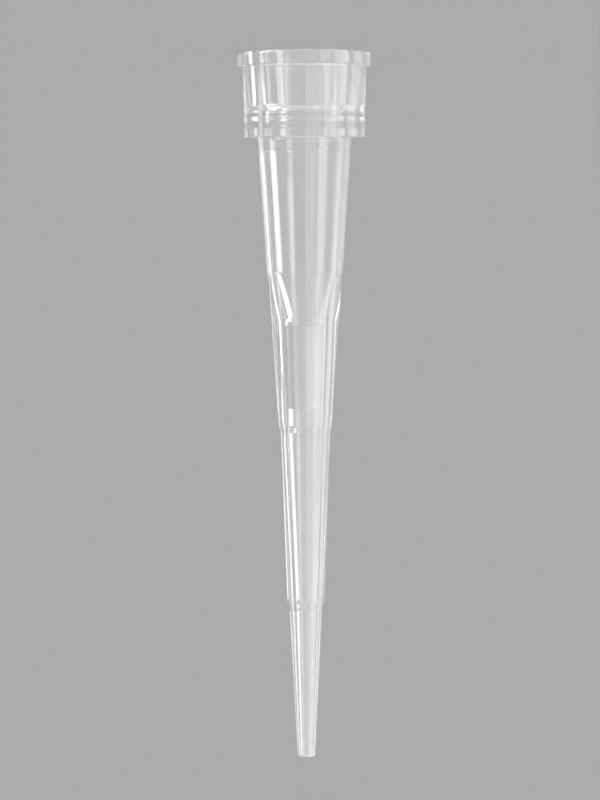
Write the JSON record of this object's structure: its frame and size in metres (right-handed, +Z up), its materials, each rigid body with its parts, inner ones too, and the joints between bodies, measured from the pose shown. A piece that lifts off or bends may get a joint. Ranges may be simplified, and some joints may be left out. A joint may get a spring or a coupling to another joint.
{
  "type": "filter pipette tip",
  "caption": "Small-volume filter pipette tip: thin stepped body with a rimmed collar, beaded mouth, funnelled bore and porous plug.",
  "frame": {"origin": "centre of the mouth face, on the tip's own axis, where the tip stands on its rim", "axes": "+Z up along the tip's own axis, from the mouth face on the ground to the nozzle; the tip is round about Z"},
  "size_m": [0.006, 0.006, 0.032],
  "materials": {
    "clear_body": "glossy, natural translucent polypropylene",
    "porous_plug": "matt, fine-grained sintered polyethylene"
  },
  "bodies": {
    "root": {"tip_body": "clear_body", "filter_plug": "porous_plug"}
  },
  "joints": []
}
